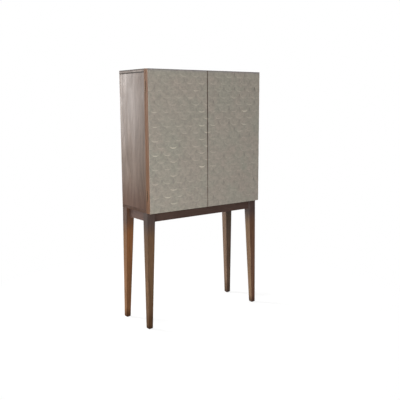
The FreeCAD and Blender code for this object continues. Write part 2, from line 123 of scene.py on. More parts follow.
class SIDEBOARD_PG_hardware(bpy.types.PropertyGroup):
    """Hinges, latches, screws and glides."""

    brass: colour("Brass", "Dark antique brass of the hinges", (0.060, 0.040, 0.025))
    steel: colour("Steel", "Zinc-plated strike plates and screws", (0.300, 0.297, 0.285))
    plastic: colour("Plastic", "Dark brown latch bodies and glides", (0.035, 0.025, 0.019))
    head: length("Screw head", "Radius of a countersunk head", 0.0031)
    proud: length("Proud", "How far a countersunk head's rim stands out", 0.00014)
    pan_head: length("Pan head", "Radius of a pan head", 0.0036)
    pan_proud: length("Pan proud", "Height of a pan head", 0.0018)
    ease: length("Eased edge", "Rounding of the metal's edges", 0.00025)


class SIDEBOARD_PG_stage(bpy.types.PropertyGroup):
    """Camera, lamps, floor and background."""

    lens: share("Lens", "Focal length for a 36 mm wide square picture, in millimetres", 53.556)
    place: FloatVectorProperty(name="Camera", description="Where the camera stands", subtype="TRANSLATION",
                               unit="LENGTH", default=(-2.3699, -3.2752, 1.4403))
    yaw: angle("Yaw", "Turn to the right of straight ahead", 36.616)
    pitch: angle("Pitch", "Tilt above the horizon", -9.222)
    roll: angle("Roll", "Turn of the picture", -0.279)
    key: share("Key", "Power of the high softbox on the left, in watts", 90.0)
    low: share("Low", "Power of the low softbox on the left, in watts", 690.0)
    fill: share("Fill", "Power of the low softbox at the left front, in watts", 118.0)
    sheen: share("Sheen", "Power of the softbox that shines on the left panel, in watts", 275.0)
    front: share("Front", "Power of the small softbox before the left legs, in watts", 3.0)
    side: share("Side", "Power of the softbox on the right, in watts", 200.0)
    ambient: share("Ambient", "Strength of the even light from all round", 0.44)
    floor: colour("Floor", "Pale floor", (0.300, 0.300, 0.300))
    floor_glow: share("Floor glow", "White seen by the camera on the floor, under the lamps' light", 0.70)
    floor_fade: length("Floor fade", "Distance at which the floor has turned plain white", 1.7)


class Link:
    """An output socket that takes part in Python arithmetic; each operation adds a Math node."""

    def __init__(self, graph, socket):
        self.graph = graph
        self.socket = socket

    def math(self, operation, *others, first=None):
        """One Math node of this value and the others; a reflected operation gives its first value."""
        values = (self, *others) if first is None else (first, self)
        return self.graph.node("ShaderNodeMath", {"operation": operation}, dict(enumerate(values)))

    def __add__(self, other):
        return self.math("ADD", other)

    def __sub__(self, other):
        return self.math("SUBTRACT", other)

    def __mul__(self, other):
        return self.math("MULTIPLY", other)

    def __pow__(self, other):
        return self.math("POWER", other)

    def __rsub__(self, other):
        return self.math("SUBTRACT", first=other)

    __radd__ = __add__
    __rmul__ = __mul__

    def between(self, low, high):
        """0 up to low, 1 from high on, and a smooth step between them."""
        settings = {"interpolation_type": "SMOOTHSTEP"}
        inputs = {"Value": self, "From Min": low, "From Max": high}
        return self.graph.node("ShaderNodeMapRange", settings, inputs)


class Graph:
    """The node tree of one material or of the world."""

    def __init__(self, owner):
        self.owner = owner
        owner.use_nodes = True
        self.tree = owner.node_tree
        self.tree.nodes.clear()

    def node(self, kind, settings=None, inputs=None, output=0):
        """Adds any node: its settings first, then the values or links of its sockets."""
        made = self.tree.nodes.new(kind)
        for name, value in (settings or {}).items():
            setattr(made, name, value)
        for key, value in (inputs or {}).items():
            self.connect(made.inputs[key], value)
        return Link(self, made.outputs[output]) if made.outputs else None

    def connect(self, socket, value):
        """Links a socket, or sets its value; a colour of three gets its alpha."""
        if isinstance(value, Link):
            self.tree.links.new(value.socket, socket)
        elif socket.type == "RGBA" and len(value) == 3:
            socket.default_value = (*value, 1)
        else:
            socket.default_value = value

    def place(self, move=(0, 0, 0), turn=(0, 0, 0)):
        """Object coordinates, turned and moved."""
        coordinates = self.node("ShaderNodeTexCoord", output="Object")
        inputs = {"Vector": coordinates, "Location": move, "Rotation": turn}
        return self.node("ShaderNodeMapping", {}, inputs)

    def part(self, vector, axis):
        """One of a vector's three parts, by its letter."""
        return self.node("ShaderNodeSeparateXYZ", {}, {0: vector}, output=axis)

    def facing(self, axis):
        """How far the surface looks along an axis of the object, from -1 to 1."""
        return self.part(self.node("ShaderNodeTexCoord", output="Normal"), axis)

    def noise(self, vector, scale, detail, roughness, distortion=0.0):
        """A noise texture of one scale, or of one for each axis."""
        if isinstance(scale, tuple):
            vector = self.node("ShaderNodeVectorMath", {"operation": "MULTIPLY"}, {0: vector, 1: scale})
            scale = 1
        inputs = {"Vector": vector, "Scale": scale, "Detail": detail, "Roughness": roughness,
                  "Distortion": distortion}
        return self.node("ShaderNodeTexNoise", {}, inputs)

    def mix(self, factor, first, second, blend="MIX"):
        """A colour between two, by a factor from 0 to 1."""
        settings = {"data_type": "RGBA", "blend_type": blend}
        inputs = {"Factor": factor, 6: first, 7: second}
        return self.node("ShaderNodeMix", settings, inputs, output=2)

    def attribute(self, name):
        return self.node("ShaderNodeAttribute", {"attribute_name": name}, output="Fac")

    def bump(self, height, distance, strength):
        inputs = {"Height": height, "Distance": distance, "Strength": strength}
        return self.node("ShaderNodeBump", {}, inputs)

    def surface(self, **inputs):
        """The finished material: a Principled shader with these sockets, _ standing for a space."""
        named = {name.replace("_", " "): value for name, value in inputs.items()}
        shader = self.node("ShaderNodeBsdfPrincipled", {}, named)
        self.node("ShaderNodeOutputMaterial", {}, {"Surface": shader})
        return self.owner


# The turn that brings a board's grain, along this axis, onto the texture's own Z.
GRAIN_TURNS = {"X": (0, math.radians(90), 0), "Y": (math.radians(90), 0, 0), "Z": (0, 0, 0)}
# Where each group of boards starts in the tree.
ORDERS = {"case": 0, "frame": 10, "panel_edge": 19, "doors": 20, "stand": 30, "inside": 50}
# A shade narrower than this is a dark line round a board's sides.
LINE_WIDTH = 0.006
# How much rounder the edges of the case boards and legs are.
SOFTER = 1.6
# How far off a face without an arris is put.
FAR = 1.0
# Distances from an arris where its wear starts to fade and has ended.
ARRIS_FADE = (0.0003, 0.0030)
# How far a normal lies along an axis where a face starts to look that way, and where it does.
FACING = (0.5, 0.9)


def board_faces(node, joined):
    """The two faces of a board on each axis; a joined one, such as -Y, has no arris and is put far off."""
    low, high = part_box(node)
    return [(low[number] - FAR * (f"-{axis}" in joined), high[number] + FAR * (f"+{axis}" in joined))
            for number, axis in enumerate("XYZ")]


def leg_faces(leg, top):
    """A leg's two faces on each axis up to its top; those on X and Y are a place at the floor and a slope."""
    eased_end, same_level = 0.004, 1e-4
    points = cad_points(leg)
    foot = points[:, 2].min()
    near_foot = points[points[:, 2] < foot + eased_end]
    near_top = points[np.abs(points[:, 2] - top) < same_level]
    start = near_foot[:, 2].max()
    faces = []
    for number in (0, 1):
        ends = []
        for pick in (np.min, np.max):
            low = pick(near_foot[:, number])
            slope = (pick(near_top[:, number]) - low) / (top - start)
            ends.append((float(low - slope * start), float(slope)))
        faces.append(ends)
    return faces + [(float(foot), top + FAR)]


def arris_wear(graph, faces, waver):
    """1 on a piece's free arrises and 0 a little way off: there the middle of its distances to faces is 0."""
    place = graph.place()
    height = graph.part(place, "Z")
    gaps = []
    for axis, ends in zip("XYZ", faces):
        along = graph.part(place, axis)
        low, high = (height * end[1] + end[0] if isinstance(end, tuple) else end for end in ends)
        gaps.append((along - low).math("MINIMUM", high - along))
    nearer = gaps[0].math("MINIMUM", gaps[1])
    further = gaps[0].math("MAXIMUM", gaps[1])
    away = nearer.math("MAXIMUM", further.math("MINIMUM", gaps[2]))
    return 1 - (away + waver).between(*ARRIS_FADE)


def stained_wood(name, tone, grain, order, polish=0.0, shades=(), worn=None, front=None, faces=None,
                 rub=(2.1, 1.9, 1.7)):
    """Stained hardwood: growth rings round a pith that lies off the board, fibres, pores and blotches.

    The grain follows one axis, and each board takes its own stretch of the tree by its order. Polish runs
    from 0, a thin matt coat, to 1, a satin one with a lacquer on top, which dust dulls on faces that look up.
    Each shade is an axis, a level, the distances from it where the colour starts to change and has changed,
    and the colour that multiplies it; shades carry stains as well as painted shade and light. A narrow one
    is a dark line round the sides, which dulls the coat. Worn gives the depths where the coat is thinnest
    and fullest, and front two heights and the factors there of painted light and shade on faces that look
    to the front. The arrises of faces are worn pale or darker by the tint rub.
    """
    wood = bpy.context.scene.sideboard_wood
    graph = Graph(bpy.data.materials.new(name))
    tone = np.array(tone)
    move = (0.13 + 0.37 * order, 0.21 + 0.29 * order, 0.41 * order)
    place = graph.place(move, GRAIN_TURNS[grain])
    figure = graph.noise(place, (5, 5, 0.6), 3, 0.55, 0.4)
    x, y, z = (graph.part(place, axis) for axis in "XYZ")
    across = (x * x + y * y).math("SQRT")
    rings = ((across + z * 0.012 + figure * 0.055) * (2 * math.pi / wood.ring)).math("SINE") * 0.5 + 0.5
    late_wood = rings ** 2.5
    fibres = graph.noise(place, (330, 330, 7), 3, 0.6)
    streaks = graph.noise(place, (22, 22, 3.0), 5, 0.70, 0.9)
    pores = graph.noise(place, (800, 800, 26), 1, 0.5).between(0.60, 0.72)
    blotches = graph.noise(place, (5.5, 5.5, 3.3), 3, 0.55, 0.4)

    colours = graph.mix(streaks.between(0.30, 0.70), tone * 0.72, np.minimum(tone * 1.28, 1))
    colours = graph.mix(late_wood * 0.22, colours, tone * (0.52, 0.47, 0.43))
    colours = graph.mix(fibres.between(0.38, 0.70) * 0.30, colours, np.minimum(tone * 1.45, 1))
    colours = graph.mix(blotches.between(0.40, 0.66) * 0.28, colours, tone * (0.80, 0.70, 0.62))
    colours = graph.mix(pores * 0.55, colours, tone * 0.36)
    if faces:
        wear = arris_wear(graph, faces, (streaks - 0.5) * 0.004) * blotches.between(0.30, 0.56)
        colours = graph.mix(wear * 0.85, colours, np.minimum(tone * rub, 1))
    lines = []
    for axis, level, start, end, factors in shades:
        distance = (graph.part(graph.place(), axis) - level).math("ABSOLUTE")
        distance = distance + (figure + streaks * 0.6 - 0.8) * (0.5 * abs(end - start))
        changed = distance.between(start, end)
        if abs(end - start) < LINE_WIDTH:
            changed = changed * (1 - graph.facing(axis).math("ABSOLUTE").between(*FACING))
            lines.append(changed)
        colours = graph.mix(changed, colours, factors, "MULTIPLY")
    # Painted light and shade on faces that look to the front, its factor changing with height.
    if front:
        low, high, low_painted_light, high_painted_light = front
        painted_front_light = graph.mix(graph.part(graph.place(), "Z").between(low, high), low_painted_light, high_painted_light)
        colours = graph.mix((graph.facing("Y") * -1).between(*FACING), colours, painted_front_light, "MULTIPLY")
    rough = (fibres * 0.16 + pores * 0.18 + blotches * 0.10) + (0.46 - 0.16 * polish)
    bump = graph.bump(fibres * 0.5 - pores, 0.00022, 0.55)
    coat = 0.0
    if polish:
        coat = (blotches.between(0.34, 0.66) * 0.5 + streaks.between(0.32, 0.68) * 0.45 + 0.275) * polish
        dust = graph.facing("Z").between(*FACING) * 0.7
        for dulled in (*lines, dust):
            coat = coat * (1 - dulled)
    if worn:
        coat = coat * (graph.part(graph.place(), "Y").between(*worn) * 0.75 + 0.6)
    return graph.surface(Base_Color=colours, Roughness=rough, Normal=bump, Coat_Weight=coat,
                         Coat_Roughness=0.45, Specular_IOR_Level=0.04)


def carved_lacquer(name):
    """Grey-taupe lacquer over carved wood: patches, brushed fibres, soiling and painted shade in the pockets,
    and pale worn rims that carry a painted highlight.
    """
    carving = bpy.context.scene.sideboard_carving
    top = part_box("left_scale_panel")[1].z
    graph = Graph(bpy.data.materials.new(name))
    place = graph.place()
    patches = graph.noise(place, 9, 3, 0.55)
    drift = graph.noise(place, 4.3, 2, 0.5, 0.3)
    fibres = graph.noise(place, (520, 520, 30), 3, 0.6)
    tool_marks = graph.noise(place, 85, 2, 0.5)
    mottle = graph.noise(place, (54, 54, 70.2), 4, 0.70, 0.3)
    specks = graph.noise(place, 420, 2, 0.6)
    tone, rim, gilt, shade = map(graph.attribute, ("tone", "rim", "gilt", "shade"))

    colours = graph.mix(patches.between(0.36, 0.64), carving.lacquer_cool, carving.lacquer_warm)
    colours = graph.mix(drift.between(0.30, 0.62) * 0.6, colours, carving.lacquer)
    darker = np.array(carving.lacquer) * 0.78
    for strength in ((tone * 0.5 + 0.5) * 0.14, fibres.between(0.45, 0.80) * 0.16,
                     tool_marks.between(0.40, 0.68) * 0.26):
        colours = graph.mix(strength, colours, darker)
    colours = graph.mix(mottle.between(0.36, 0.66), colours, (0.77, 0.77, 0.78), "MULTIPLY")
    # The doors' top is cooler and its arris dark, and painted shade darkens the seam between them, most of
    # all high up.
    height = graph.part(place, "Z")
    for reach, tint in ((0.022, (0.90, 0.89, 0.98)), (0.005, (0.36, 0.35, 0.40))):
        colours = graph.mix(height.between(top - reach, top - 0.002), colours, tint, "MULTIPLY")
    seam = 1 - graph.part(place, "X").math("ABSOLUTE").between(0.0030, 0.0046)
    seam_painted_shade = seam * (height.between(0.95, 1.15) * 0.55 + 0.35)
    colours = graph.mix(seam_painted_shade, colours, np.array(carving.grime_and_shade) * 0.3)
    # Soiling and painted shade in the pockets.
    colours = graph.mix(shade * (0.35 + specks * 0.60), colours, carving.grime_and_shade)
    # Pale rims, partly worn gold and partly a painted highlight.
    worn = (gilt * (0.60 + specks * 0.8)).math("MINIMUM", 1.0)
    colours = graph.mix(worn, colours, carving.rubbed_and_highlight)
    rough = 0.50 + specks * 0.14 - worn * 0.16 + shade * 0.14 - rim * 0.04
    bump = graph.bump(fibres * 0.5 + specks * 0.4 + tool_marks * 2.2, 0.00025, 0.6)
    return graph.surface(Base_Color=colours, Roughness=rough, Metallic=worn * 0.2, Normal=bump)


def aged_metal(name, tone, rough, tarnish):
    """Plated metal, brushed and a little tarnished, with darker blotches."""
    graph = Graph(bpy.data.materials.new(name))
    place = graph.place()
    brushed = graph.noise(place, (900, 900, 60), 2, 0.6)
    blotches = graph.noise(place, 160, 3, 0.6)
    tone = np.array(tone)
    colours = graph.mix(blotches.between(0.40, 0.72) * tarnish, tone, tone * (0.42, 0.38, 0.34))
    # Painted shade: the screw heads' cross recesses are nearly black.
    colours = graph.mix(graph.attribute("recess"), colours, tone * 0.06)
    roughness = brushed * 0.14 + blotches * 0.18 * tarnish + (rough - 0.08)
    bump = graph.bump(brushed, 0.00005, 0.4)
    return graph.surface(Base_Color=colours, Roughness=roughness, Metallic=1.0, Normal=bump)


def moulded_plastic(name, tone):
    """Moulded plastic with a fine spark-eroded grain."""
    graph = Graph(bpy.data.materials.new(name))
    place = graph.place()
    grain = graph.noise(place, 1500, 2, 0.6)
    cloud = graph.noise(place, 60, 2, 0.5)
    colours = graph.mix(cloud.between(0.35, 0.65) * 0.4, tone, np.array(tone) * 1.5)
    roughness = 0.44 + grain * 0.16
    bump = graph.bump(grain, 0.00006, 0.5)
    return graph.surface(Base_Color=colours, Roughness=roughness, Normal=bump)


def cad_node(name):
    """The object of a CAD node; an unknown name stops the script."""
    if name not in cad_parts:
        raise RuntimeError(f"the frame has no node named {name}")
    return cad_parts[name]


def cad_points(name):
    """The points of a CAD node's mesh."""
    return np.array([vertex.co for vertex in cad_node(name).data.vertices])


def dress(name, material, ease):
    """Gives a CAD node its material and eased edges: its triangles are welded and joined, then bevelled."""
    node = cad_node(name)
    node.data.materials.clear()
    node.data.materials.append(material)
    weld = node.modifiers.new("weld", "WELD")
    weld.merge_threshold = 1e-6
    flats = node.modifiers.new("flats", "DECIMATE")
    flats.decimate_type = "DISSOLVE"
    flats.angle_limit = math.radians(0.5)
    edges = node.modifiers.new("eased edges", "BEVEL")
    edges.width = ease
    edges.segments = 3
    edges.limit_method = "ANGLE"
    edges.angle_limit = math.radians(35)
    edges.harden_normals = True


def stain(node, tone, grain, order, softer=1.0, **more):
    """Dresses a CAD node in stained wood of its own; its edges are so many times softer than usual."""
    ease = softer * bpy.context.scene.sideboard_wood.ease
    dress(node, stained_wood(f"{node}_wood", tone, grain, order, **more), ease)


def add_object(name, data):
    """A new object in the scene, with its data."""
    made = bpy.data.objects.new(name, data)
    bpy.context.scene.collection.objects.link(made)
    return made


def add_piece(name, points, faces, material, body, attributes):
    """Makes a mesh piece from whole arrays, with its attributes, and lets it ride on a body."""
    mesh = bpy.data.meshes.new(name)
    mesh.from_pydata(points, [], faces)
    for key, values in attributes.items():
        layer = mesh.attributes.new(key, "FLOAT", "POINT")
        layer.data.foreach_set("value", np.asarray(values, np.float32).ravel())
    mesh.polygons.foreach_set("use_smooth", np.ones(len(mesh.polygons), bool))
    mesh.set_sharp_from_angle(angle=math.radians(42))
    mesh.materials.append(material)
    piece = add_object(name, mesh)
    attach(piece, body)
    return piece


def grid_faces(rows, columns):
    """Quads of a grid of points; they face a viewer who sees its rows go down and its columns go right."""
    index = np.arange(rows * columns).reshape(rows, columns)
    return np.stack([index[:-1, :-1], index[1:, :-1], index[1:, 1:], index[:-1, 1:]], -1).reshape(-1, 4)


def closed_slab(grid, back):
    """Points and faces of a grid seen from -Y, closed by four sides and a flat back at the given Y.

    A grid step without width gets one point at the back and a triangle at the side. Returns also the grid's
    points that have one behind them.
    """
    rows, columns = grid.shape[:2]
    index = np.arange(rows * columns).reshape(rows, columns)
    loop = np.concatenate([index[0], index[1:, -1], index[-1, -2::-1], index[-2:0:-1, 0]])
    points = grid.reshape(-1, 3)
    rim = points[loop].copy()
    rim[:, 1] = back
    same_place = 1e-7
    new = np.abs(rim - np.roll(rim, 1, axis=0)).max(axis=1) > same_place
    behind = len(points) + np.cumsum(new) - 1
    sides = np.stack([loop, np.roll(loop, -1), np.roll(behind, -1), behind], -1)
    walls = [list(dict.fromkeys(side)) for side in sides.tolist()]
    faces = grid_faces(rows, columns).tolist() + walls + [list(dict.fromkeys(behind.tolist()))]
    return np.concatenate([points, rim[new]]), faces, loop[new]


def smooth_step(value, low, high):
    """0 up to low, 1 from high on, and 3u^2 - 2u^3 between them."""
    part = np.clip((value - low) / (high - low), 0, 1)
    return part * part * (3 - 2 * part)


def quarter_round(inset, radius):
    """How far a rounded edge falls at an inset from it: r - sqrt(r^2 - (r - inset)^2), nothing further in."""
    part = np.clip(radius - inset, 0, radius)
    return radius - np.sqrt(radius * radius - part * part)


def row_arcs(across, row, pitch, row_height, radius):
    """For a row of scales: the middle of the nearest scale, its number, and the depth of its arc's centre.

    Odd rows start with half a scale at the door's edge, even ones with a whole one.
    """
    start = 0 if row % 2 else pitch / 2
    number = np.clip(np.round((across - start) / pitch), 0, None)
    number = np.minimum(number, np.floor((across.max() - start) / pitch + 0.5))
    return start + number * pitch, number.astype(int), row * row_height - radius


def row_edge(across, row, pitch, row_height, radius):
    """Depth below the door's top of a row's lower edge: centre + sqrt(r^2 - offset^2)."""
    middle, _, centre = row_arcs(across, row, pitch, row_height, radius)
    return centre + np.sqrt(radius * radius - (across - middle) ** 2)


def soft_spots(across, depth, spots):
    """Strength at shares of a door's width and height: the most of its soft spots, each exp(-u^2 - v^2)."""
    middle_across, middle_depth, reach_across, reach_depth, strength = np.array(spots).T[..., None]
    u = (across - middle_across) / reach_across
    v = (depth - middle_depth) / reach_depth
    return (strength * np.exp(-u * u - v * v)).max(axis=0)


def carved_scales(width, height, carving, seed, rubbed_highlight_spots, dirt_and_shade_spots):
    """Relief of a door of overlapping fish scales, as a grid that follows the scales' edges.

    Each column of the grid crosses all rows. In the band of row k, from the edge of row k - 1 down to its
    own edge, the height is tip (1 - (tip depth - depth) / 2 rows), less a crown to the flanks, a quarter
    round at the rim and a gouge exp(-(distance / reach)^2) along the rims above. Every scale leans and
    stands a little differently. Returns across, depth and height, and the values that the lacquer reads.
    """
    random = np.random.default_rng(seed)
    margin = 0.0005
    pitch = width / carving.columns
    row_height = (height - margin) / carving.rows
    radius = carving.bow * pitch / 2
    sizes = (pitch, row_height, radius)
    steps = np.arange(2 * carving.columns * carving.facets + 1)
    half, part = np.divmod(steps, carving.facets)
    across = (half + (1 - np.cos(math.pi * part / carving.facets)) / 2) * pitch / 2
    rows = carving.rows + 1
    table = random.uniform(-1, 1, (5, rows + 1, carving.columns + 1))
    body_shares = np.array([0, 0.08, 0.20, 0.36, 0.54, 0.72, 0.88, 1])[:, None]
    lip_shares = np.array([0.62, 0.28, 0.07, 0])[:, None]

    edges = [row_edge(across, row, *sizes) for row in range(1, rows)]
    edges = [np.zeros_like(across), *edges, np.full_like(across, height)]
    bands = []
    for row in range(1, rows + 1):
        middle, number, centre = row_arcs(across, row, *sizes)
        top, bottom = edges[row - 1], edges[row]
        slope = np.abs(np.gradient(bottom, across))
        lip = np.minimum(carving.lip * np.sqrt(1 + slope * slope), 0.6 * (bottom - top))
        depth = np.concatenate([top + body_shares * (bottom - lip - top), bottom - lip_shares * lip])

        offset = across - middle
        fall = np.maximum(depth - centre, 0)
        inset = np.maximum(radius - np.hypot(offset, fall), 0)
        if row == rows:
            inset = np.maximum(inset, carving.lip)
        above, _, above_centre = row_arcs(across, row - 1, *sizes)
        clear = np.maximum(np.hypot(across - above, np.maximum(depth - above_centre, 0)) - radius, 0)
        lift, lean, tilt, tone, luck = table[:, row, number]

        flank = offset / (pitch / 2)
        rise = carving.tip * (1 - (row * row_height - depth) / (2 * row_height))
        rise += carving.unevenness * (lift * 0.6 + lean * flank * 0.5 + tilt * (fall / radius) * 0.7)
        rise -= carving.crown * flank ** 2
        gouge = np.exp(-(clear / carving.pocket_reach) ** 2)
        near_cusp = 1 - smooth_step(np.abs(flank), 0.0, 0.26)
        rise -= carving.pocket * gouge * (0.1 + 0.9 * near_cusp)
        rise -= quarter_round(inset, carving.lip)

        turn = np.degrees(np.arctan2(np.abs(offset), np.maximum(fall, 1e-6)))
        # Pale rims, partly worn gold and partly a painted highlight, by the spots given.
        rubbed_and_highlight = soft_spots(middle / width, row / carving.rows, rubbed_highlight_spots) * (0.72 + 0.28 * luck)
        # Soiling and painted shade in the pockets, by their own spots.
        dirt_and_shade = soft_spots(across / width, row / carving.rows, dirt_and_shade_spots)
        rim = 1 - smooth_step(inset, 0.001, 0.0075)
        gilt = rim * rubbed_and_highlight * (1 - smooth_step(turn, 16, 42))
        shade = gouge * (0.05 + 0.95 * near_cusp) * (0.20 + 0.20 * (1 - lean) ** 2) * dirt_and_shade
        band = np.broadcast_arrays(across, depth, rise, tone, rim, gilt, shade)
        bands.append(np.stack(band))
    across, depth, rise, tone, rim, gilt, shade = np.concatenate(bands, axis=1)
    border = np.minimum.reduce([across, width - across, depth, height - depth])
    # Where a rim is gouged down to the ground, a slight slope keeps its points from falling together.
    ground, slope = 0.0002, 0.00002
    steps_down = len(body_shares) + len(lip_shares)
    least = ground + slope * (np.arange(len(rise)) % steps_down)[:, None] / steps_down
    rise = np.maximum(rise, least) - quarter_round(border, carving.arris)
    return across, depth, rise, {"tone": tone, "rim": rim, "gilt": gilt, "shade": shade}


def polar_cap(radius, height, rings, spokes):
    """A domed disc on rings of points, h (1 - 0.75 u^4) high at a share u of its radius, with a skirt."""
    part = np.linspace(0, 1, rings + 1)[1:]
    angle = np.arange(spokes) * 2 * math.pi / spokes
    x = radius * part[:, None] * np.cos(angle)
    y = radius * part[:, None] * np.sin(angle)
    z = np.broadcast_to(height * (0.25 + 0.75 * (1 - part[:, None] ** 4)), x.shape)
    dome = np.stack([x, y, z], -1)
    skirt = dome[-1:].copy()
    skirt[..., 2] = 0
    rows = np.concatenate([dome, skirt])
    tip = np.array([[0, 0, height]])
    points = np.concatenate([tip, rows.reshape(-1, 3)])
    index = 1 + np.arange(len(rows) * spokes).reshape(len(rows), spokes)
    after = np.roll(index, -1, axis=1)
    walls = np.stack([index[:-1], index[1:], after[1:], after[:-1]], -1).reshape(-1, 4)
    fan = np.stack([np.zeros(spokes, int), index[0], after[0]], -1)
    return points, fan.tolist() + walls.tolist() + [index[-1, ::-1].tolist()]


def screw_group(name, spots, normal, radius, height, material, body="cabinet"):
    """Cross-head screws at the given spots, facing one way and each turned on from the last, as one piece."""
    arm_width, arm_reach, recess_depth, turned_on = 0.13, 0.62, 0.6, 0.7
    cap, faces = polar_cap(radius, height, rings=6, spokes=20)
    x, y = np.abs(cap[:, :2].T) / radius
    recess = ((np.minimum(x, y) < arm_width) & (np.maximum(x, y) < arm_reach)).astype(float)
    cap[:, 2] -= recess * height * recess_depth
    turn = np.array(Vector(normal).to_track_quat("Z", "Y").to_matrix())
    count = len(cap)
    points, all_faces = [], []
    for number, spot in enumerate(spots):
        spin = np.array(Matrix.Rotation(turned_on * number, 3, "Z"))
        points.append(cap @ spin.T @ turn.T + np.array(spot))
        all_faces += [[corner + number * count for corner in face] for face in faces]
    values = {"recess": np.tile(recess, len(spots))}
    return add_piece(name, np.concatenate(points), all_faces, material, body, values)


class SIDEBOARD_OT_carved_doors(bpy.types.Operator):
    """Carves the fish scales of both doors and lacquers them."""

    bl_idname = "sideboard.carved_doors"
    bl_label = "Carved doors"

    # Where each door's rims are worn to pale gold with a painted highlight on them: across, depth, their
    # reaches, all as shares, and strength.
    rubbed_highlight_spots = {
        "left": (
            (0.10, 0.58, 0.12, 0.32, 0.50), (0.32, 0.60, 0.12, 0.14, 0.65), (0.38, 0.74, 0.10, 0.28, 0.75),
            (0.74, 0.22, 0.14, 0.20, 0.36), (0.93, 0.48, 0.16, 0.26, 0.78), (0.38, 0.90, 0.10, 0.08, 1.25),
            (0.40, 0.55, 0.04, 0.02, 0.90), (0.90, 0.70, 0.06, 0.02, 1.05), (0.55, 0.55, 0.80, 0.80, 0.22),
            (0.88, 0.16, 0.12, 0.09, 0.55),
        ),
        "right": (
            (0.10, 0.42, 0.12, 0.12, 0.60), (0.72, 0.33, 0.16, 0.10, 0.70), (0.45, 0.16, 0.60, 0.36, 0.27),
            (0.10, 0.63, 0.12, 0.10, 0.40), (0.50, 0.50, 0.90, 0.90, 0.12), (0.58, 0.42, 0.12, 0.05, 0.55),
        ),
    }
    # Where each door's pockets hold soiling and painted shade, darkest at the right door's right edge, listed
    # in the same way as the pale rims.
    dirt_and_shade_spots = {
        "left": (
            (0.54, 0.14, 0.05, 0.03, 2.40), (0.62, 0.05, 0.05, 0.03, 1.40), (0.72, 0.62, 0.15, 0.12, 1.30),
            (0.25, 0.46, 0.12, 0.05, 1.20), (0.50, 0.50, 2.00, 2.00, 0.80),
        ),
        "right": (
            (1.02, 0.50, 0.30, 0.90, 2.20), (0.70, 0.08, 0.60, 0.12, 1.30), (0.50, 0.50, 2.00, 2.00, 1.10),
        ),
    }
    # Painted shade: the panels' edges are darker in the seam between the doors.
    seam_painted_shades = (("X", 0, 0.011, 0.005, (0.20, 0.19, 0.18)),)

    def execute(self, context):
        carving = context.scene.sideboard_carving
        wood = context.scene.sideboard_wood
        lacquer = carved_lacquer("carved_lacquer")
        edge = stained_wood("carved_panel_edge", wood.door, "Z", ORDERS["panel_edge"],
                            shades=self.seam_painted_shades)
        for number, side in enumerate(SIDES):
            node = f"{side}_scale_panel"
            low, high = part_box(node)
            size = high - low
            across, depth, rise, values = carved_scales(size.x, size.z, carving, carving.seed + number,
                                                        self.rubbed_highlight_spots[side], self.dirt_and_shade_spots[side])
            face = high.y - carving.base
            grid = np.stack([low.x + across, face - rise, high.z - depth], -1)
            points, faces, loop = closed_slab(grid, high.y)
            attributes = {
                key: np.concatenate([value.ravel(), value.ravel()[loop] * (key == "tone")])
                for key, value in values.items()
            }
            piece = add_piece(f"{side}_carved_face", points, faces, lacquer, f"{side}_door",
                              attributes)
            piece.data.materials.append(edge)
            bare = np.arange(len(faces)) >= (grid.shape[0] - 1) * (grid.shape[1] - 1)
            piece.data.polygons.foreach_set("material_index", bare.astype(np.int32))
            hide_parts(node)
        return {"FINISHED"}


class SIDEBOARD_OT_case(bpy.types.Operator):
    """Stains the case boards and the face frame."""

    bl_idname = "sideboard.case"
    bl_label = "Case"

    # Each board's grain, polish, depth of the case's tone and joined faces.
    boards = {
        "top_board": ("X", 0.18, 0.80, "-Y -Z"),
        "bottom_board": ("X", 0.12, 0.75, "-Y +Z"),
        "left_side_panel": ("Z", 0.25, 1.06, "-Y -Z +Z"),
        "right_side_panel": ("Z", 0.25, 1.06, "-Y -Z +Z"),
    }
    frame_pieces = {"left_stile": "Z", "right_stile": "Z", "top_rail": "X", "bottom_rail": "X"}

    def execute(self, context):
        wood = context.scene.sideboard_wood
        low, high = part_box("left_side_panel")
        joint = ("Z", high.z, 0.0052, 0.0018, (0.22, 0.21, 0.21))
        # Painted shade: the boards grow darker and warmer towards the bottom of the side panels, where less
        # sheen falls.
        foot = ("Z", 0, low.z + 0.24, low.z, (0.74, 0.54, 0.44))
        top_line = ("Z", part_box("top_board")[1].z, 0.0080, 0.0035, (0.34, 0.33, 0.37))
        # Painted shade: the side panels grow darker towards the front, where their sheen fades.
        painted_shade_to_front = ("Y", high.y, 0, high.y - low.y, (0.82, 0.80, 0.78))
        for order, (node, (grain, polish, depth, joined)) in enumerate(self.boards.items(), ORDERS["case"]):
            shades, worn = (joint, foot, top_line), None
            if node.endswith("panel"):
                shades, worn = (joint, foot, painted_shade_to_front), (low.y, high.y)
            stain(node, depth * np.array(wood.case), grain, order, SOFTER, polish=polish, shades=shades,
                  worn=worn, faces=board_faces(node, joined))
        for order, (node, grain) in enumerate(self.frame_pieces.items(), ORDERS["frame"]):
            stain(node, wood.door, grain, order)
        return {"FINISHED"}


class SIDEBOARD_OT_door_cores(bpy.types.Operator):
    """Stains the wooden cores of the doors."""

    bl_idname = "sideboard.door_cores"
    bl_label = "Door cores"

    def execute(self, context):
        wood = context.scene.sideboard_wood
        for order, side in enumerate(SIDES, ORDERS["doors"]):
            node = f"{side}_door_core"
            stain(node, wood.door, "Z", order, faces=board_faces(node, "-Y"))
        return {"FINISHED"}


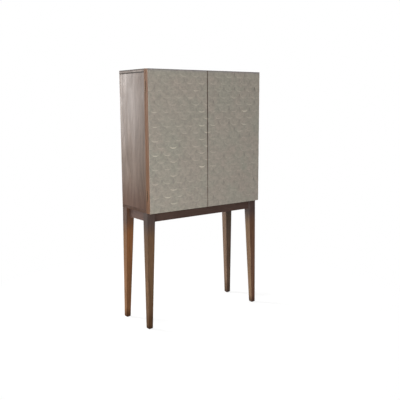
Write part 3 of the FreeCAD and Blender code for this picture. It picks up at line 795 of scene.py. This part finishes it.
class SIDEBOARD_OT_stand(bpy.types.Operator):
    """Stains the legs, aprons and corner blocks, and finishes the glides."""

    bl_idname = "sideboard.stand"
    bl_label = "Stand"

    # Each leg's tint low down, partly its own tone and partly painted light and sheen; that tint's share high
    # up, so that the leg is painted lighter low down; the painted light and shade on its front faces low down
    # and high up; its polish and the height up to which its foot is darker.
    legs = {
        "front_left": ((0.83, 0.93, 1.12), 0.70, (0.98, 0.98, 0.98), (1.68, 1.72, 1.80), 0.12, 0.13),
        "front_right": ((1.05, 1.26, 1.62), 0.85, (0.80, 0.59, 0.54), (0.86, 0.66, 0.62), 0.40, 0.06),
        "back_left": ((1.28, 1.28, 1.38), 0.66, (0.92, 0.86, 0.82), (1.82, 1.54, 1.28), 0.12, 0.07),
        "back_right": ((1.10, 1.36, 2.00), 0.90, (0.64, 0.62, 0.61), (0.46, 0.46, 0.43), 0.35, 0.12),
    }
    # The heights between which a leg's tint changes.
    low, high = 0.25, 0.60
    # How far under the aprons the painted top shade starts, and at which share of its height a foot's
    # darkening is full.
    top_fade, foot_full = 0.12, 0.4
    # Painted shade: the legs' tops are darker and cooler under the aprons, like the aprons themselves.
    painted_top_shade = (0.55, 0.67, 1.08)
    # The feet and the legs' arrises are darker.
    foot_darkening = (0.60, 0.53, 0.44)
    arris_darkening = (0.45, 0.40, 0.38)
    # The end of each foot is darker.
    tip = ("Z", 0, 0.032, 0.008, (0.62, 0.58, 0.55))
    # Each apron's grain and how far on it starts in the tree.
    aprons = {"front": ("X", 0), "back": ("X", 2), "left": ("Y", 5), "right": ("Y", 6)}

    def execute(self, context):
        wood = context.scene.sideboard_wood
        hardware = context.scene.sideboard_hardware
        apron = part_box("front_apron")[0].z
        for order, (corner, values) in enumerate(self.legs.items(), ORDERS["stand"] + 1):
            tint, high_painted_light, low_front_painted_light, high_front_painted_light, polish, foot = values
            # Painted shade under the aprons, and painted light lower down on the leg and on its front faces.
            shades = (
                ("Z", 0, apron - self.top_fade, apron, self.painted_top_shade),
                ("Z", 0, foot, self.foot_full * foot, self.foot_darkening),
                ("Z", 0, self.low, self.high, [high_painted_light] * 3),
                self.tip,
            )
            leg = f"{corner}_leg"
            front = (self.low, self.high, low_front_painted_light, high_front_painted_light)
            stain(leg, np.array(wood.leg) * tint, "Z", order, SOFTER, polish=polish, shades=shades,
                  front=front, faces=leg_faces(leg, apron), rub=self.arris_darkening)
            stain(f"{corner}_corner_block", wood.inside, "X", order, polish=0.1)
        for side, (grain, on) in self.aprons.items():
            # The ends lie in the legs and the top under the case, so only the lower arrises are rubbed.
            node = f"{side}_apron"
            faces = board_faces(node, f"-{grain} +{grain} +Z")
            stain(node, wood.apron, grain, ORDERS["stand"] + on, polish=0.12, faces=faces)
        dress("foot_glides", moulded_plastic("glide_plastic", hardware.plastic), hardware.ease)
        return {"FINISHED"}


class SIDEBOARD_OT_inside(bpy.types.Operator):
    """Stains the shelves, their cleats and the back panel, and drives their screws."""

    bl_idname = "sideboard.inside"
    bl_label = "Inside"

    # Shares of a cleat's length where its screws are.
    cleat_places = (0.1, 0.5, 0.9)
    # How far in the back panel's screws are, and how many stand along its width and its height.
    inset, along_width, along_height = 0.011, 5, 6

    def execute(self, context):
        wood = context.scene.sideboard_wood
        hardware = context.scene.sideboard_hardware
        steel = aged_metal("screw_steel", hardware.steel, rough=0.38, tarnish=0.5)
        order = ORDERS["inside"]
        for shelf in ("lower", "upper"):
            order += 1
            node = f"{shelf}_shelf"
            stain(node, wood.inside, "X", order, polish=0.4, faces=board_faces(node, "-X +X +Y"))
            for side in SIDES:
                order += 1
                cleat = f"{shelf}_{side}_cleat"
                stain(cleat, wood.inside, "Y", order, polish=0.1)
                low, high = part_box(cleat)
                inner, facing = (high.x, 1) if side == "left" else (low.x, -1)
                spots = [(inner, low.y + part * (high.y - low.y), (low.z + high.z) / 2)
                         for part in self.cleat_places]
                screw_group(f"{cleat}_screws", spots, (facing, 0, 0), hardware.pan_head, hardware.pan_proud,
                            steel)
        stain("back_panel", wood.ply, "Z", order + 1, softer=1 / 3)
        low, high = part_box("back_panel")
        edge = self.inset / 2
        columns = np.linspace(low.x + self.inset, high.x - self.inset, self.along_width)
        rows = np.linspace(low.z, high.z, self.along_height)[1:-1]
        spots = [(x, high.y, z) for x in columns for z in (low.z + edge, high.z - edge)]
        spots += [(x, high.y, z) for x in (low.x + edge, high.x - edge) for z in rows]
        screw_group("back_panel_screws", spots, (0, 1, 0), hardware.head, hardware.proud, steel)
        return {"FINISHED"}


class SIDEBOARD_OT_hinges(bpy.types.Operator):
    """Finishes the butt hinges and sets three countersunk screws in each leaf."""

    bl_idname = "sideboard.hinges"
    bl_label = "Hinges"

    # Each screw's share of a leaf's length, and of its width from the free edge to the barrel.
    screw_places = ((0.16, 0.62), (0.5, 0.36), (0.84, 0.62))
    barrel = 0.0073

    def execute(self, context):
        hardware = context.scene.sideboard_hardware
        brass = aged_metal("hinge_brass", hardware.brass, rough=0.36, tarnish=0.7)
        for side in SIDES:
            for part in ("frame_leaves", "door_leaves", "pins"):
                dress(f"{side}_hinge_{part}", brass, hardware.ease)
            self.screws(f"{side}_hinge_frame_leaves", "cabinet", -1, hardware, brass)
            self.screws(f"{side}_hinge_door_leaves", f"{side}_door", 1, hardware, brass)
        return {"FINISHED"}

    def screws(self, leaves, body, facing, hardware, brass):
        """Heads flush in a node's two leaves, each on the face that looks at the hinge's other leaf."""
        same_place = 1e-5
        points = cad_points(leaves)
        away, heights = np.abs(points[:, 0]), points[:, 2]
        free = points[away < away.min() + same_place]
        face = facing * (facing * free[:, 1]).max()
        inner = free[0, 0]
        outer = np.sign(inner) * (away.max() - self.barrel)
        middle = (heights.min() + heights.max()) / 2
        spots = []
        for leaf in (heights[heights < middle], heights[heights > middle]):
            spots += [(inner + out * (outer - inner), face, leaf.min() + along * np.ptp(leaf))
                      for along, out in self.screw_places]
        screw_group(f"{leaves}_screws", spots, (0, facing, 0), hardware.head, hardware.proud, brass, body)


class SIDEBOARD_OT_latches(bpy.types.Operator):
    """Finishes the push latches and their strike plates, with screws."""

    bl_idname = "sideboard.latches"
    bl_label = "Latches"

    # Shares of a housing's depth where its screws are, and how much smaller the latches' heads are.
    screw_places = (0.82, 0.94)
    small = 0.8

    def execute(self, context):
        hardware = context.scene.sideboard_hardware
        head = self.small * hardware.head
        plastic = moulded_plastic("latch_plastic", hardware.plastic)
        tip = moulded_plastic("plunger_plastic", np.array(hardware.plastic) * 2.2)
        steel = aged_metal("strike_steel", hardware.steel, rough=0.30, tarnish=0.25)
        for side in SIDES:
            dress(f"{side}_latch_housing", plastic, 2 * hardware.ease)
            dress(f"{side}_latch_plunger", tip, 2 * hardware.ease)
            dress(f"{side}_strike_plate", steel, hardware.ease)
            low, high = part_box(f"{side}_strike_plate")
            middle = (low + high) / 2
            screw_group(f"{side}_strike_screw", [(middle.x, high.y, middle.z)], (0, 1, 0), head,
                        hardware.proud, steel, f"{side}_door")
            low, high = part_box(f"{side}_latch_housing")
            middle = (low + high) / 2
            spots = [(middle.x, low.y + part * (high.y - low.y), low.z) for part in self.screw_places]
            screw_group(f"{side}_latch_screws", spots, (0, 0, -1), head, hardware.pan_proud / 3, steel)
        return {"FINISHED"}


class SIDEBOARD_OT_stage(bpy.types.Operator):
    """Sets the camera, the softboxes, the pale floor and the white background."""

    bl_idname = "sideboard.stage"
    bl_label = "Stage"

    # Each softbox's place, the point it looks at and its size; its power is the setting of that name.
    softboxes = {
        "key": ((-4.0, -2.5, 6.0), (0, 0, 0.9), 2.4),
        "low": ((-8.0, -2.6, 1.0), (0, 0, 0.8), 3.0),
        "fill": ((-2.8, -3.9, 0.9), (0, 0, 1.0), 2.0),
        "sheen": ((-2.5, 3.45, 1.85), (-0.45, 0.05, 1.38), 1.7),
        "front": ((-0.9, -1.2, 0.16), (-0.44, -0.14, 0.3), 0.25),
        "side": ((6.0, 1.2, 1.8), (0.2, 0, 0.9), 3.0),
    }

    def execute(self, context):
        stage = context.scene.sideboard_stage
        context.scene.view_settings.view_transform = "Standard"
        self.camera(context.scene, stage)
        self.lamps(stage)
        self.floor(stage)
        self.background(context.scene, stage)
        return {"FINISHED"}

    def camera(self, scene, stage):
        data = bpy.data.cameras.new("camera")
        data.sensor_width = 36
        data.lens = stage.lens
        camera = add_object("camera", data)
        turn = Matrix.Rotation(-stage.yaw, 4, "Z") @ Matrix.Rotation(math.pi / 2 + stage.pitch, 4, "X")
        camera.matrix_world = Matrix.Translation(stage.place) @ turn @ Matrix.Rotation(stage.roll, 4, "Z")
        scene.camera = camera

    def lamps(self, stage):
        for name, (place, target, size) in self.softboxes.items():
            data = bpy.data.lights.new(f"{name}_softbox", "AREA")
            data.size = size
            data.energy = getattr(stage, name)
            lamp = add_object(data.name, data)
            lamp.location = place
            lamp.rotation_euler = (Vector(target) - Vector(place)).to_track_quat("-Z", "Y").to_euler()

    def seen(self, graph):
        """1 for rays from the camera, a mirror or glass, 0 for light that spreads from a matt surface."""
        names = ("Is Camera Ray", "Is Glossy Ray", "Is Transmission Ray")
        rays = [graph.node("ShaderNodeLightPath", output=name) for name in names]
        return rays[0].math("MAXIMUM", rays[1]).math("MAXIMUM", rays[2])

    def floor(self, stage):
        """A pale floor that keeps the shadow near the object and turns plain white further out."""
        reach, fade_start = 9.0, 0.45
        graph = Graph(bpy.data.materials.new("pale_floor"))
        away = graph.node("ShaderNodeVectorMath", {"operation": "LENGTH"}, {0: graph.place()}, output="Value")
        plain = away.between(fade_start * stage.floor_fade, stage.floor_fade)
        matt = graph.node("ShaderNodeBsdfDiffuse", {}, {"Color": stage.floor})
        glow = graph.node("ShaderNodeEmission", {}, {"Color": (1, 1, 1), "Strength": stage.floor_glow})
        near = graph.node("ShaderNodeAddShader", {}, {0: matt, 1: glow})
        white = graph.node("ShaderNodeEmission", {}, {"Color": (1, 1, 1), "Strength": 1.0})
        pale = graph.node("ShaderNodeMixShader", {}, {0: plain, 1: near, 2: white})
        shader = graph.node("ShaderNodeMixShader", {}, {0: self.seen(graph), 1: matt, 2: pale})
        graph.node("ShaderNodeOutputMaterial", {}, {"Surface": shader})
        mesh = bpy.data.meshes.new("floor")
        corners = [(-reach, -reach, 0), (reach, -reach, 0), (reach, reach, 0), (-reach, reach, 0)]
        mesh.from_pydata(corners, [], [(0, 1, 2, 3)])
        mesh.materials.append(graph.owner)
        floor = add_object("floor", mesh)

    def background(self, scene, stage):
        """A white world for what is seen, and an even light of the ambient strength for what is lit."""
        scene.world = bpy.data.worlds.new("background")
        graph = Graph(scene.world)
        light = graph.node("ShaderNodeBackground", {}, {"Color": (1, 1, 1), "Strength": stage.ambient})
        white = graph.node("ShaderNodeBackground", {}, {"Color": (1, 1, 1), "Strength": 1.0})
        shader = graph.node("ShaderNodeMixShader", {}, {0: self.seen(graph), 1: light, 2: white})
        graph.node("ShaderNodeOutputWorld", {}, {"Surface": shader})


SETTINGS = {
    "sideboard_carving": SIDEBOARD_PG_carving,
    "sideboard_wood": SIDEBOARD_PG_wood,
    "sideboard_hardware": SIDEBOARD_PG_hardware,
    "sideboard_stage": SIDEBOARD_PG_stage,
}
OPERATORS = (
    SIDEBOARD_OT_carved_doors,
    SIDEBOARD_OT_door_cores,
    SIDEBOARD_OT_case,
    SIDEBOARD_OT_stand,
    SIDEBOARD_OT_inside,
    SIDEBOARD_OT_hinges,
    SIDEBOARD_OT_latches,
    SIDEBOARD_OT_stage,
)


class SIDEBOARD_PT_panel(bpy.types.Panel):
    """Lists the settings and the operators."""

    bl_idname = "SIDEBOARD_PT_panel"
    bl_label = "Sideboard"
    bl_space_type = "VIEW_3D"
    bl_region_type = "UI"
    bl_category = "Sideboard"

    def draw(self, context):
        for operator in OPERATORS:
            self.layout.operator(operator.bl_idname)
        for name, group in SETTINGS.items():
            box = self.layout.box()
            box.label(text=group.__doc__)
            for key in group.__annotations__:
                box.prop(getattr(context.scene, name), key)


def register():
    for item in (*SETTINGS.values(), *OPERATORS, SIDEBOARD_PT_panel):
        bpy.utils.register_class(item)
    for name, group in SETTINGS.items():
        setattr(bpy.types.Scene, name, PointerProperty(type=group))


def unregister():
    for name in SETTINGS:
        delattr(bpy.types.Scene, name)
    for item in (SIDEBOARD_PT_panel, *reversed(OPERATORS), *reversed(SETTINGS.values())):
        bpy.utils.unregister_class(item)


def main():
    register()
    for operator in OPERATORS:
        group, name = operator.bl_idname.split(".")
        getattr(getattr(bpy.ops, group), name)()


if __name__ == "__main__":
    main()
